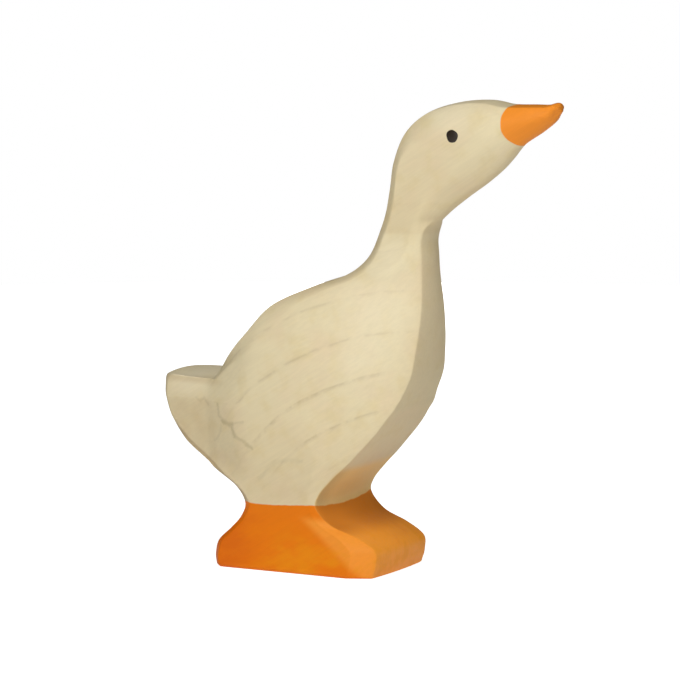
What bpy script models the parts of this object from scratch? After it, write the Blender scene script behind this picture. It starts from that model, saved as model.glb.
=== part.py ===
"""Goose figurine, sawn from one maple board, carved by hand and painted.

Metres, +Z up. The beak points along +X, the flat underside of the base lies on z = 0
with the origin at its centre, and both sides of the plane y = 0 are alike.

The sawn outline is a ladder. Each rung joins a point of the back outline to a point of
the front outline, from the underside of the base up to the tip of the beak. The carving
is given by widths along the ladder: a flat along the back, a flat down the front, and
the sides between them, which run off to the arrises of the two flats.
"""

import bmesh
import bpy
import numpy as np

MM = 0.001

# Widths across the figure
BOARD_THICKNESS = 24.8 * MM
WAIST_WIDTH = 23.2 * MM
SHOULDER_WIDTH = 15.0 * MM
NECK_WIDTH = 9.6 * MM
HEAD_WIDTH = 11.2 * MM
BEAK_ROOT_WIDTH = 8.6 * MM
BEAK_TIP_WIDTH = 2.8 * MM

# Flat down the front
FOOT_FRONT_WIDTH = 20.6 * MM
INSTEP_FRONT_WIDTH = 21.0 * MM
WAIST_FRONT_WIDTH = 22.8 * MM
BELLY_FRONT_WIDTH = 20.2 * MM
BREAST_ROOT_FRONT_WIDTH = 17.2 * MM
BREAST_FRONT_WIDTH = 12.8 * MM
NECK_FRONT_WIDTH = 7.4 * MM
STOP_FRONT_WIDTH = 6.2 * MM
JAW_FRONT_WIDTH = 3.6 * MM
BEAK_FRONT_WIDTH = 3.4 * MM
BEAK_TIP_FRONT_WIDTH = 2.0 * MM

# Flat along the back
FOOT_BACK_WIDTH = 21.4 * MM
BELLY_BACK_WIDTH = 17.0 * MM
TAIL_TIP_BACK_WIDTH = 10.0 * MM
TAIL_TOP_WIDTH = 11.4 * MM
BACK_WIDTH = 20.6 * MM
SHOULDER_BACK_WIDTH = 12.8 * MM
NECK_BACK_WIDTH = 6.6 * MM
CROWN_WIDTH = 7.2 * MM
BEAK_TIP_TOP_WIDTH = 2.0 * MM

# How far in from each flat the sides keep running off
FOOT_CORNER_RUN = 4.6 * MM
INSTEP_CORNER_RUN = 3.6 * MM
INSTEP_TOP_CORNER_RUN = 2.4 * MM
WAIST_CORNER_RUN = 1.6 * MM
BELLY_RUN = 6.0 * MM
BREAST_RUN = 24.0 * MM
HEEL_CORNER_RUN = 1.4 * MM
RUMP_RUN = 1.8 * MM
TAIL_UNDER_RUN = 1.2 * MM
TAIL_CORNER_RUN = 2.0 * MM
BACK_RUN = 5.0 * MM
SHOULDER_RUN = 3.0 * MM
NECK_CORNER_RUN = 1.8 * MM
NECK_RUN = 3.6 * MM
THROAT_RUN = 2.4 * MM
HEAD_RUN = 4.6 * MM
JAW_RUN = 5.6 * MM
BEAK_TOP_RUN = 2.6 * MM
BEAK_ROOT_RUN = 4.2 * MM
BEAK_RUN = 2.6 * MM
BEAK_TIP_RUN = 0.3 * MM
MOST_RUN = 0.96
FLAT_EASE = 1.0
NECK_EASE = 1.1
BREAST_EASE = 1.5
ROUND_EASE = 1.9

# Sides of the tail, nearly level with each other as far as the notch and flaring from there
TAIL_ROOT_WIDTH = 19.0 * MM
TAIL_TAPER = 0.13
TAIL_FLARE = 0.42
TAIL_CREASE_HEIGHT = 31.0 * MM
TAIL_OVER_SLOPE = 0.32
TAIL_UNDER_SLOPE = 0.12
TAIL_SOFTNESS = 0.8 * MM
TAIL_TOP_SOFTNESS = 3.0 * MM

# Rise of the two flats at their middles
FRONT_CROWN = 0.45 * MM
BACK_CROWN = 0.35 * MM

# Rounding of the bottom edge, and the painted parts
BOTTOM_ROUNDING = 0.6 * MM
EYE_DIAMETER = 2.4 * MM
EYE_RISE = 0.15 * MM
EYE_BEHIND_BEAK = 9.3 * MM
EYE_BELOW_CROWN = 5.6 * MM

# Fineness of the solid, and the fold that counts as an arris
ARRIS_ANGLE = np.radians(28.0)
STEPS_PER_RUNG = 2
FLAT_STEPS = 2
RUN_STEPS = 4
SIDE_STEPS = 12
EYE_SEGMENTS = 14
EYE_RINGS = 8

CREAM_WASH = (0.70, 0.60, 0.42, 1.0)
ORANGE_GLAZE = (0.76, 0.22, 0.02, 1.0)
EYE_PAINT = (0.045, 0.026, 0.01, 1.0)
CREAM_ROUGHNESS = 0.62
ORANGE_ROUGHNESS = 0.5
EYE_ROUGHNESS = 0.45

# Rungs of the ladder as (back x, back z, front x, front z) in millimetres
FOOT_RUNGS = (
    (-16.7, 0.6, 16.7, 0.6),
    (-16.9, 2.4, 17.3, 2.6),
    (-16.2, 5.0, 17.1, 5.4),
    (-13.6, 7.5, 13.4, 7.7),
    (-11.4, 9.9, 8.3, 9.7),
)
PAINT_LINE_RUNG = (-10.5, 12.6, 5.3, 12.7)
BELLY_RUNGS = (
    (-12.6, 15.5, 5.8, 15.2),
    (-17.3, 18.1, 8.4, 18.3),
    (-21.9, 20.8, 11.5, 21.4),
    (-25.8, 23.9, 13.9, 24.0),
    (-28.7, 27.4, 15.9, 26.2),
    (-30.2, 30.9, 17.5, 28.2),
)
TAIL_TIP_LOWER_RUNG = (-30.9, 33.0, 18.8, 30.1)
TAIL_TIP_UPPER_RUNG = (-30.2, 35.5, 20.0, 31.7)
TAIL_TOP_RUNG = (-25.5, 35.6, 20.7, 33.1)
TAIL_NOTCH_RUNG = (-19.6, 35.5, 21.3, 34.3)
BACK_RUNGS = (
    (-16.1, 39.3, 22.9, 38.2),
    (-11.0, 44.4, 23.5, 42.2),
    (-5.5, 50.3, 23.9, 46.6),
    (2.0, 54.0, 24.0, 51.4),
    (8.9, 56.6, 23.7, 56.2),
)
NECK_RUNGS = (
    (12.3, 59.6, 23.5, 60.4),
    (14.1, 64.0, 23.4, 63.6),
    (15.6, 68.2, 24.4, 66.3),
    (16.5, 72.8, 27.2, 69.1),
)
HEAD_RUNGS = (
    (17.3, 78.0, 31.1, 72.1),
    (19.7, 83.4, 34.8, 74.7),
    (24.1, 87.2, 38.1, 77.4),
    (29.7, 89.1, 40.2, 79.6),
    (35.5, 89.7, 41.4, 81.1),
)
BEAK_ROOT_RUNG = (39.9, 89.1, 42.9, 82.6)
BEAK_RUNGS = (
    (44.7, 89.2, 46.2, 84.7),
    (47.9, 89.3, 48.8, 86.7),
    (49.5, 89.7, 49.7, 88.0),
    (50.2, 89.5, 50.2, 88.7),
)


def all_rungs():
    """The whole ladder in order, in metres."""
    rungs = (
        FOOT_RUNGS
        + (PAINT_LINE_RUNG,)
        + BELLY_RUNGS
        + (TAIL_TIP_LOWER_RUNG, TAIL_TIP_UPPER_RUNG, TAIL_TOP_RUNG, TAIL_NOTCH_RUNG)
        + BACK_RUNGS
        + NECK_RUNGS
        + HEAD_RUNGS
        + (BEAK_ROOT_RUNG,)
        + BEAK_RUNGS
    )
    return np.array(rungs) * MM


RUNGS = all_rungs()
PAINT_LINE = len(FOOT_RUNGS)
INSTEP = PAINT_LINE - 2
TAIL_TIP = PAINT_LINE + 1 + len(BELLY_RUNGS)
TAIL_TOP = TAIL_TIP + 2
TAIL_NOTCH = TAIL_TOP + 1
NECK_START = TAIL_NOTCH + 1 + len(BACK_RUNGS)
HEAD_START = NECK_START + len(NECK_RUNGS)
BEAK_ROOT = HEAD_START + len(HEAD_RUNGS)
BEAK_TIP = len(RUNGS) - 1
BELLY_FULL = PAINT_LINE + 3
SHOULDER = NECK_START - 1
THROAT = HEAD_START - 1


def slopes(places, values, corners):
    """Slope of a smooth curve through values, before and after each place."""
    steps = np.diff(places)
    rises = np.diff(values) / steps
    before = np.empty_like(values)
    after = np.empty_like(values)
    before[0] = after[0] = rises[0]
    before[-1] = after[-1] = rises[-1]
    for i in range(1, len(values) - 1):
        if i in corners:
            before[i] = rises[i - 1]
            after[i] = rises[i]
        else:
            total = steps[i - 1] + steps[i]
            before[i] = (rises[i - 1] * steps[i] + rises[i] * steps[i - 1]) / total
            after[i] = before[i]
    return before, after


def curve(places, values, at, corners=(), limited=False):
    """Read a smooth curve; a limited one never swings past the values it joins."""
    places = np.asarray(places, float)
    values = np.asarray(values, float)
    before, after = slopes(places, values, corners)
    if limited:
        rises = np.diff(values) / np.diff(places)
        for i in range(1, len(values) - 1):
            if rises[i - 1] * rises[i] <= 0.0:
                before[i] = after[i] = 0.0
    at = np.asarray(at, float)
    index = np.clip(np.searchsorted(places, at, side="right") - 1, 0, len(places) - 2)
    step = places[index + 1] - places[index]
    u = (at - places[index]) / step
    start, end = values[index], values[index + 1]
    leave, arrive = after[index] * step, before[index + 1] * step
    cubic = 2.0 * start - 2.0 * end + leave + arrive
    square = -3.0 * start + 3.0 * end - 2.0 * leave - arrive
    return ((cubic * u + square) * u + leave) * u + start


def law(at, *knots):
    """A width that follows the ladder through (rung, value) knots."""
    places, values = zip(*knots)
    return curve(places, values, at, limited=True)


def side_half_width(at):
    return 0.5 * law(
        at,
        (0, BOARD_THICKNESS),
        (PAINT_LINE, WAIST_WIDTH),
        (BELLY_FULL, BOARD_THICKNESS),
        (TAIL_NOTCH + 1, BOARD_THICKNESS),
        (SHOULDER, SHOULDER_WIDTH),
        (NECK_START + 1, NECK_WIDTH),
        (THROAT, NECK_WIDTH),
        (HEAD_START + 3, HEAD_WIDTH),
        (BEAK_ROOT, BEAK_ROOT_WIDTH),
        (BEAK_TIP, BEAK_TIP_WIDTH),
    )


def front_half_width(at):
    return 0.5 * law(
        at,
        (0, FOOT_FRONT_WIDTH),
        (INSTEP, INSTEP_FRONT_WIDTH),
        (PAINT_LINE, WAIST_FRONT_WIDTH),
        (BELLY_FULL + 1, BELLY_FRONT_WIDTH),
        (TAIL_TIP + 1, BREAST_ROOT_FRONT_WIDTH),
        (TAIL_NOTCH + 2, BREAST_FRONT_WIDTH),
        (NECK_START, NECK_FRONT_WIDTH),
        (NECK_START + 1, NECK_FRONT_WIDTH),
        (THROAT - 1, STOP_FRONT_WIDTH),
        (THROAT - 0.6, JAW_FRONT_WIDTH),
        (BEAK_ROOT - 1, JAW_FRONT_WIDTH),
        (BEAK_ROOT + 1, BEAK_FRONT_WIDTH),
        (BEAK_TIP, BEAK_TIP_FRONT_WIDTH),
    )


def back_half_width(at):
    return 0.5 * law(
        at,
        (0, FOOT_BACK_WIDTH),
        (PAINT_LINE, FOOT_BACK_WIDTH),
        (BELLY_FULL, BELLY_BACK_WIDTH),
        (TAIL_TIP, TAIL_TIP_BACK_WIDTH),
        (TAIL_TOP, TAIL_TOP_WIDTH),
        (TAIL_NOTCH, TAIL_TOP_WIDTH),
        (TAIL_NOTCH + 2, BACK_WIDTH),
        (SHOULDER, SHOULDER_BACK_WIDTH),
        (NECK_START + 1, NECK_BACK_WIDTH),
        (HEAD_START, NECK_BACK_WIDTH),
        (HEAD_START + 3, CROWN_WIDTH),
        (BEAK_ROOT, CROWN_WIDTH),
        (BEAK_TIP, BEAK_TIP_TOP_WIDTH),
    )


def front_run(at):
    return law(
        at,
        (0, FOOT_CORNER_RUN),
        (INSTEP - 1, FOOT_CORNER_RUN),
        (INSTEP, INSTEP_CORNER_RUN),
        (INSTEP + 1, INSTEP_TOP_CORNER_RUN),
        (PAINT_LINE, WAIST_CORNER_RUN),
        (BELLY_FULL, BELLY_RUN),
        (TAIL_TIP + 1, BREAST_RUN),
        (TAIL_NOTCH + 3, BREAST_RUN),
        (NECK_START, NECK_RUN),
        (THROAT - 1, THROAT_RUN),
        (THROAT + 1, JAW_RUN),
        (BEAK_ROOT - 1, JAW_RUN),
        (BEAK_ROOT, BEAK_ROOT_RUN),
        (BEAK_ROOT + 1, BEAK_RUN),
        (BEAK_TIP, BEAK_TIP_RUN),
    )


def back_run(at):
    return law(
        at,
        (0, HEEL_CORNER_RUN),
        (PAINT_LINE, HEEL_CORNER_RUN),
        (BELLY_FULL, RUMP_RUN),
        (BELLY_FULL + 2, TAIL_UNDER_RUN),
        (TAIL_TIP, TAIL_CORNER_RUN),
        (TAIL_NOTCH, TAIL_CORNER_RUN),
        (TAIL_NOTCH + 2, BACK_RUN),
        (SHOULDER, SHOULDER_RUN),
        (NECK_START + 1, NECK_CORNER_RUN),
        (HEAD_START, NECK_CORNER_RUN),
        (HEAD_START + 2, HEAD_RUN),
        (BEAK_ROOT, BEAK_TOP_RUN),
        (BEAK_TIP, BEAK_TIP_RUN),
    )


def front_ease(at):
    return law(
        at,
        (0, FLAT_EASE),
        (PAINT_LINE, FLAT_EASE),
        (TAIL_TIP, BREAST_EASE),
        (THROAT - 1, BREAST_EASE),
        (THROAT, ROUND_EASE),
        (BEAK_TIP, ROUND_EASE),
    )


def back_ease(at):
    return law(
        at,
        (0, FLAT_EASE),
        (PAINT_LINE, FLAT_EASE),
        (TAIL_TIP, ROUND_EASE),
        (SHOULDER, ROUND_EASE),
        (NECK_START + 1, NECK_EASE),
        (HEAD_START, NECK_EASE),
        (HEAD_START + 2, ROUND_EASE),
        (BEAK_TIP, ROUND_EASE),
    )


def tail_share(at):
    """How much the tail's own sides count: none at the waist, all from the rump up."""
    return law(at, (0, 0.0), (PAINT_LINE, 0.0), (BELLY_FULL, 1.0), (BEAK_TIP, 1.0))


def side_reach(at, place):
    """Half the width between the sides at a point of the ladder."""
    body = side_half_width(at)
    behind = place[:, 0] - RUNGS[TAIL_NOTCH, 0]
    height = place[:, 1] - TAIL_CREASE_HEIGHT
    top = RUNGS[TAIL_TOP, 1] - TAIL_CREASE_HEIGHT
    plan = 0.5 * TAIL_ROOT_WIDTH + behind * np.where(behind < 0.0, TAIL_TAPER, TAIL_FLARE)
    over = 0.5 * (height + top - np.sqrt((height - top) ** 2 + TAIL_TOP_SOFTNESS**2))
    tail = plan - TAIL_OVER_SLOPE * np.maximum(over, 0.0) - TAIL_UNDER_SLOPE * np.maximum(-height, 0.0)
    narrower = 0.5 * (body + tail - np.sqrt((body - tail) ** 2 + TAIL_SOFTNESS**2))
    return body + tail_share(at) * (np.minimum(narrower, body) - body)


def outward(line, other):
    """Unit normals of one outline in the XZ plane, pointing away from the other."""
    along = np.gradient(line, axis=0)
    normal = np.stack([along[:, 1], -along[:, 0]], axis=1)
    normal /= np.linalg.norm(normal, axis=1)[:, None]
    turn = np.sign(np.sum(normal * (line - other), axis=1))
    return normal * turn[:, None]


def half_section(at, back, front):
    """Points from the middle of the back, down the -Y side, to the middle of the front.

    Returns an array of (rung, point, xyz).
    """
    back_out = outward(back, front)
    front_out = outward(front, back)
    span = front - back
    length = np.linalg.norm(span, axis=1)
    back_width = np.minimum(back_half_width(at), side_reach(at, back))
    front_width = np.minimum(front_half_width(at), side_reach(at, front))
    back_depth = back_run(at)
    front_depth = front_run(at)
    fit = np.minimum(1.0, MOST_RUN * length / (back_depth + front_depth))
    back_depth = back_depth * fit
    front_depth = front_depth * fit
    columns = []

    def add(place, width):
        columns.append(np.stack([place[:, 0], -width, place[:, 1]], axis=1))

    for i in range(FLAT_STEPS):
        share = i / FLAT_STEPS
        rise = BACK_CROWN * (1.0 - share**2)
        add(back + back_out * rise, back_width * share)
    for i in range(RUN_STEPS):
        share = i / RUN_STEPS
        fullness = 1.0 - (1.0 - share) ** back_ease(at)
        along = back_depth * share / length
        place = back + span * along[:, None]
        add(place, back_width + (side_reach(at, place) - back_width) * fullness)
    for i in range(SIDE_STEPS):
        share = i / SIDE_STEPS
        along = (back_depth + (length - back_depth - front_depth) * share) / length
        place = back + span * along[:, None]
        add(place, side_reach(at, place))
    for i in range(RUN_STEPS):
        share = 1.0 - i / RUN_STEPS
        fullness = 1.0 - (1.0 - share) ** front_ease(at)
        along = 1.0 - front_depth * share / length
        place = back + span * along[:, None]
        add(place, front_width + (side_reach(at, place) - front_width) * fullness)
    for i in range(FLAT_STEPS + 1):
        share = 1.0 - i / FLAT_STEPS
        rise = FRONT_CROWN * (1.0 - share**2)
        add(front + front_out * rise, front_width * share)
    return np.stack(columns, axis=1)


def ladder_loops():
    """Closed loops of points round the figure, one for each step up the ladder."""
    at = np.linspace(0.0, BEAK_TIP, BEAK_TIP * STEPS_PER_RUNG + 1)
    places = np.arange(len(RUNGS))
    tail_corners = (TAIL_NOTCH,)
    back = np.stack([curve(places, RUNGS[:, i], at, tail_corners) for i in (0, 1)], axis=1)
    front = np.stack([curve(places, RUNGS[:, i], at) for i in (2, 3)], axis=1)
    half = half_section(at, back, front)
    mirrored = half[:, -2:0:-1] * np.array([1.0, -1.0, 1.0])
    loops = np.concatenate([half, mirrored], axis=1)
    return at, loops


def underside_loop(lowest):
    """The edge of the flat underside, drawn in from the lowest loop by the rounding."""
    reach = np.abs(lowest).max(axis=0)
    inset = 1.0 - BOTTOM_ROUNDING / reach[:2]
    return np.column_stack([lowest[:, 0] * inset[0], lowest[:, 1] * inset[1], np.zeros(len(lowest))])


def paint(name, colour, roughness):
    material = bpy.data.materials.new(name)
    material.use_nodes = True
    shader = material.node_tree.nodes["Principled BSDF"]
    shader.inputs["Base Color"].default_value = colour
    shader.inputs["Roughness"].default_value = roughness
    material.diffuse_color = colour
    return material


def carved_body():
    """The carved solid with its washed and glazed fields as material slots."""
    at, loops = ladder_loops()
    loops = np.concatenate([underside_loop(loops[0])[None], loops])
    at = np.concatenate([[0.0], at])
    form = bmesh.new()
    rows = [[form.verts.new(point) for point in loop] for loop in loops]
    around = len(rows[0])
    for low, high, middle in zip(rows, rows[1:], 0.5 * (at[:-1] + at[1:])):
        painted = middle < PAINT_LINE or middle > BEAK_ROOT
        for i in range(around):
            j = (i + 1) % around
            face = form.faces.new((low[i], low[j], high[j], high[i]))
            face.material_index = 1 if painted else 0
            face.smooth = True
    for row in (rows[0], rows[-1]):
        face = form.faces.new(row)
        face.material_index = 1
    bmesh.ops.recalc_face_normals(form, faces=form.faces)
    mesh = bpy.data.meshes.new("goose")
    form.to_mesh(mesh)
    form.free()
    mesh.set_sharp_from_angle(angle=ARRIS_ANGLE)
    mesh.materials.append(paint("maple_cream_wash", CREAM_WASH, CREAM_ROUGHNESS))
    mesh.materials.append(paint("maple_orange_glaze", ORANGE_GLAZE, ORANGE_ROUGHNESS))
    mesh.materials.append(paint("black_eye_paint", EYE_PAINT, EYE_ROUGHNESS))
    body = bpy.data.objects.new("goose", mesh)
    bpy.context.scene.collection.objects.link(body)
    return body


def eye_dab(body, side):
    """A low round dab of paint on one side of the head."""
    back_x, back_z, _, _ = RUNGS[BEAK_ROOT]
    start = (back_x - EYE_BEHIND_BEAK, side * BOARD_THICKNESS, back_z - EYE_BELOW_CROWN)
    found, place, _, _ = body.ray_cast(start, (0.0, -side, 0.0))
    if not found:
        raise ValueError("the eye misses the head")
    form = bmesh.new()
    bmesh.ops.create_uvsphere(form, u_segments=EYE_SEGMENTS, v_segments=EYE_RINGS, radius=0.5 * EYE_DIAMETER)
    flat = 2.0 * EYE_RISE / (0.5 * EYE_DIAMETER)
    for vertex in form.verts:
        x, y, z = vertex.co
        vertex.co = (x, z * flat, y)
    bmesh.ops.recalc_face_normals(form, faces=form.faces)
    for face in form.faces:
        face.smooth = True
    mesh = bpy.data.meshes.new("eye_dab")
    form.to_mesh(mesh)
    form.free()
    mesh.materials.append(bpy.data.materials["black_eye_paint"])
    dab = bpy.data.objects.new("eye_dab", mesh)
    bpy.context.scene.collection.objects.link(dab)
    dab.location = (place[0], place[1] - side * EYE_RISE, place[2])
    dab.hide_render = True
    dab.display_type = "WIRE"
    return dab


def main():
    for item in list(bpy.data.objects):
        bpy.data.objects.remove(item, do_unlink=True)
    body = carved_body()
    bpy.context.view_layer.update()
    for name, side in (("right_eye", -1.0), ("left_eye", 1.0)):
        dab = eye_dab(body, side)
        union = body.modifiers.new(name, "BOOLEAN")
        union.operation = "UNION"
        union.solver = "EXACT"
        union.material_mode = "TRANSFER"
        union.object = dab


main()
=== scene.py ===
"""Goose carved from one maple board: its finished surface, its paint and its studio.

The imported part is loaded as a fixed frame, and the goose made here stands in its place.
All lengths are metres unless a name or a comment says millimetres.
"""

import bmesh
import bpy
import numpy as np
from bpy.props import FloatProperty, FloatVectorProperty, PointerProperty
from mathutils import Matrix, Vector


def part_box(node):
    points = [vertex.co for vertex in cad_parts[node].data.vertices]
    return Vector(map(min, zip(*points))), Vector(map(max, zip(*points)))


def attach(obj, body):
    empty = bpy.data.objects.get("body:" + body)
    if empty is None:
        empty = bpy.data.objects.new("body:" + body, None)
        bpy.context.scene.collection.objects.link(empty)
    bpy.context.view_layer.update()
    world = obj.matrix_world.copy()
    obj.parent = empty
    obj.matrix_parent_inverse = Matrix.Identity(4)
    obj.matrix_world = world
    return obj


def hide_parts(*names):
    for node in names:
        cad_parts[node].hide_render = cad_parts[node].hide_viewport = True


bl_info = {
    "name": "Carved Maple Goose",
    "version": (1, 0, 0),
    "blender": (4, 5, 0),
    "location": "3D View > Sidebar > Goose",
    "description": "Carves, paints and lights a small maple goose",
    "category": "Object",
}

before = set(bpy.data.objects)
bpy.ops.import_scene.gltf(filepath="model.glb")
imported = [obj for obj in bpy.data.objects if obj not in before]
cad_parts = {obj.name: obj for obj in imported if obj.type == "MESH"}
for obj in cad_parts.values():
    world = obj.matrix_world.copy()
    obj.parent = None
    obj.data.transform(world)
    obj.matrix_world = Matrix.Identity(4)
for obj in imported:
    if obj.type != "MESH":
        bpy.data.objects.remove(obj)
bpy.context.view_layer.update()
LOW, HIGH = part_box("goose")
MM = 0.001

# Thickness of the board that the goose is sawn from, read off the part itself
BOARD_THICKNESS = HIGH.y - LOW.y

# Rungs that join the back outline to the front outline, as back x, back z, front x and front z
# in millimetres
FOOT_RUNGS = (
    (-16.7, 0.6, 16.7, 0.6),
    (-16.9, 2.4, 17.3, 2.6),
    (-16.2, 5.0, 17.1, 5.4),
    (-13.6, 7.5, 13.4, 7.7),
    (-11.4, 9.9, 8.3, 9.7),
)
WAIST_RUNG = (-10.5, 12.6, 5.3, 12.7)
BELLY_RUNGS = (
    (-12.6, 15.5, 5.8, 15.2),
    (-17.3, 18.1, 8.4, 18.3),
    (-21.9, 20.8, 11.5, 21.4),
    (-25.8, 23.9, 13.9, 24.0),
    (-28.7, 27.4, 15.9, 26.2),
    (-30.2, 30.9, 17.5, 28.2),
)
TAIL_RUNGS = (
    (-30.9, 33.0, 18.8, 30.1),
    (-30.2, 35.5, 20.0, 31.7),
    (-25.5, 35.6, 20.7, 33.1),
    (-19.6, 35.5, 21.3, 34.3),
)
BACK_RUNGS = (
    (-16.1, 39.3, 22.9, 38.2),
    (-11.0, 44.4, 23.5, 42.2),
    (-5.5, 50.3, 23.9, 46.6),
    (2.0, 54.0, 24.0, 51.4),
    (8.9, 56.6, 23.7, 56.2),
)
NECK_RUNGS = (
    (12.3, 59.6, 23.5, 60.4),
    (14.1, 64.0, 23.4, 63.6),
    (15.6, 68.2, 24.4, 66.3),
    (16.5, 72.8, 27.2, 69.1),
)
HEAD_RUNGS = (
    (17.3, 78.0, 31.1, 72.1),
    (19.7, 83.4, 34.8, 74.7),
    (24.1, 87.2, 38.1, 77.4),
    (29.7, 89.1, 40.2, 79.6),
    (35.5, 89.7, 41.4, 81.1),
)
BEAK_RUNGS = (
    (39.9, 89.1, 42.9, 82.6),
    (44.7, 89.2, 46.2, 84.7),
    (47.9, 89.3, 48.8, 86.7),
    (49.5, 89.7, 49.7, 88.0),
    (50.2, 89.5, 50.2, 88.7),
)
BODY_RUNGS = FOOT_RUNGS + (WAIST_RUNG,) + BELLY_RUNGS + TAIL_RUNGS + BACK_RUNGS
RUNGS = np.array(BODY_RUNGS + NECK_RUNGS + HEAD_RUNGS + BEAK_RUNGS) * MM

# Places on the ladder
WAIST = len(FOOT_RUNGS)
INSTEP = WAIST - 2
BELLY = WAIST + 3
TAIL_TIP = WAIST + 1 + len(BELLY_RUNGS)
TAIL_TOP = TAIL_TIP + 2
NOTCH = TAIL_TOP + 1
NECK = NOTCH + 1 + len(BACK_RUNGS)
SHOULDER = NECK - 1
HEAD = NECK + len(NECK_RUNGS)
THROAT = HEAD - 1
BEAK = HEAD + len(HEAD_RUNGS)
TIP = len(RUNGS) - 1

# Widths up the ladder as (rung, millimetres): between the sides, of the front flat and of the
# back flat
SIDE_WIDTHS = (
    (0, BOARD_THICKNESS / MM),
    (WAIST, 23.2),
    (BELLY, BOARD_THICKNESS / MM),
    (NOTCH + 1, BOARD_THICKNESS / MM),
    (SHOULDER, 15.0),
    (NECK + 1, 9.6),
    (THROAT, 9.6),
    (HEAD + 3, 11.2),
    (BEAK, 8.6),
    (TIP, 2.8),
)
FRONT_WIDTHS = (
    (0, 20.6),
    (INSTEP, 21.0),
    (WAIST, 22.8),
    (BELLY + 1, 20.2),
    (TAIL_TIP + 1, 17.2),
    (NOTCH + 2, 12.8),
    (NECK, 7.4),
    (NECK + 1, 7.4),
    (THROAT - 1, 6.2),
    (THROAT - 0.6, 3.6),
    (BEAK - 1, 3.6),
    (BEAK + 1, 3.4),
    (TIP, 2.0),
)
BACK_WIDTHS = (
    (0, 21.4),
    (WAIST, 21.4),
    (BELLY, 17.0),
    (TAIL_TIP, 10.0),
    (TAIL_TOP, 11.4),
    (NOTCH, 11.4),
    (NOTCH + 2, 20.6),
    (SHOULDER, 12.8),
    (NECK + 1, 6.6),
    (HEAD, 6.6),
    (HEAD + 3, 7.2),
    (BEAK, 7.2),
    (TIP, 2.0),
)

# How far in from each flat the sides keep running off as (rung, millimetres), and how full that
# run is rounded, where 1 is a flat bevel
FRONT_RUNS = (
    (0, 4.6),
    (INSTEP - 1, 4.6),
    (INSTEP, 3.6),
    (INSTEP + 1, 2.4),
    (WAIST, 1.6),
    (BELLY, 6.0),
    (TAIL_TIP + 1, 24.0),
    (NOTCH + 3, 24.0),
    (NECK, 3.6),
    (THROAT - 1, 2.4),
    (THROAT + 1, 5.6),
    (BEAK - 1, 5.6),
    (BEAK, 4.2),
    (BEAK + 1, 2.6),
    (TIP, 0.3),
)
BACK_RUNS = (
    (0, 1.4),
    (WAIST, 1.4),
    (BELLY, 1.8),
    (BELLY + 2, 1.2),
    (TAIL_TIP, 2.0),
    (NOTCH, 2.0),
    (NOTCH + 2, 5.0),
    (SHOULDER, 3.0),
    (NECK + 1, 1.8),
    (HEAD, 1.8),
    (HEAD + 2, 4.6),
    (BEAK, 2.6),
    (TIP, 0.3),
)
FRONT_EASES = ((0, 1.0), (WAIST, 1.0), (TAIL_TIP, 1.5), (THROAT - 1, 1.5), (THROAT, 1.9), (TIP, 1.9))
BACK_EASES = (
    (0, 1.0),
    (WAIST, 1.0),
    (TAIL_TIP, 1.9),
    (SHOULDER, 1.9),
    (NECK + 1, 1.1),
    (HEAD, 1.1),
    (HEAD + 2, 1.9),
    (TIP, 1.9),
)
# Most of a rung that the two runs may fill together
MOST_RUN = 0.96

# Sides of the tail, nearly level with each other as far as the notch and flaring from there
TAIL_ROOT_WIDTH = 19.0 * MM
TAIL_TAPER = 0.13
TAIL_FLARE = 0.42
TAIL_CREASE_HEIGHT = 31.0 * MM
TAIL_OVER_SLOPE = 0.32
TAIL_UNDER_SLOPE = 0.12
TAIL_SOFTNESS = 0.8 * MM
TAIL_TOP_SOFTNESS = 3.0 * MM

# Rise of the two flats at their middles, and the rounding of the bottom edge
FRONT_CROWN = 0.45 * MM
BACK_CROWN = 0.35 * MM
BOTTOM_ROUNDING = 0.6 * MM
BOTTOM_TURNS = np.radians((30.0, 60.0, 90.0))
UNDERSIDE_SHARES = (0.9, 0.75, 0.5, 0.25)

# Fineness of the finished surface, and of the lines that are averaged to soften its arrises
STEPS_PER_RUNG = 10
FLAT_COLUMNS = 9
RUN_COLUMNS = 14
SIDE_COLUMNS = 44
STRIP_START = FLAT_COLUMNS + RUN_COLUMNS + SIDE_COLUMNS + RUN_COLUMNS
SAMPLES_PER_STRETCH = 72
SOFTENING_TAPS = 9
SOFTENING_OVERLAP = 6

# How softly the marks of the front flat and of the back flat end, in columns, and the height at
# which the knife scoops start and over which they come in
STRIP_BLEND = 4.0
KEEL_BLEND = 6.0
CARVED_FROM = 0.5 * MM
CARVED_BLEND = 2.0 * MM

# Middles of the two eyes, as the distance forward and the height
EYE_FORWARD = 30.6 * MM
EYE_HEIGHT = 83.5 * MM

# Make of an eye dab: its rings and segments, the waves of its rim as (number, start, share of the
# radius), how far it lies clear of the wood and how deep it goes in
DAB_RINGS = 7
DAB_SEGMENTS = 40
DAB_UNEVEN = ((3.0, 0.7, 0.025), (5.0, 0.0, 0.02))
DAB_CLEAR = 0.005 * MM
DAB_ROOT = 0.2 * MM

# Growth rings: the middle they bend round in millimetres forward and up, their lean across the
# board, and how far and at what size they wander
RING_FORWARD = 29.4
RING_HEIGHT = -9.9
RING_LEAN = 0.2
RING_WANDER = 1.4
RING_WANDER_SIZE = 12.0
# Each ring as its radius in millimetres and how strongly it shows
RINGS = (
    (30.6, 0.5),
    (37.4, 0.6),
    (43.9, 0.9),
    (50.8, 1.0),
    (58.5, 0.95),
    (66.1, 0.55),
    (74.0, 0.45),
    (82.4, 0.5),
    (91.0, 0.45),
    (100.2, 0.45),
)
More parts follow.
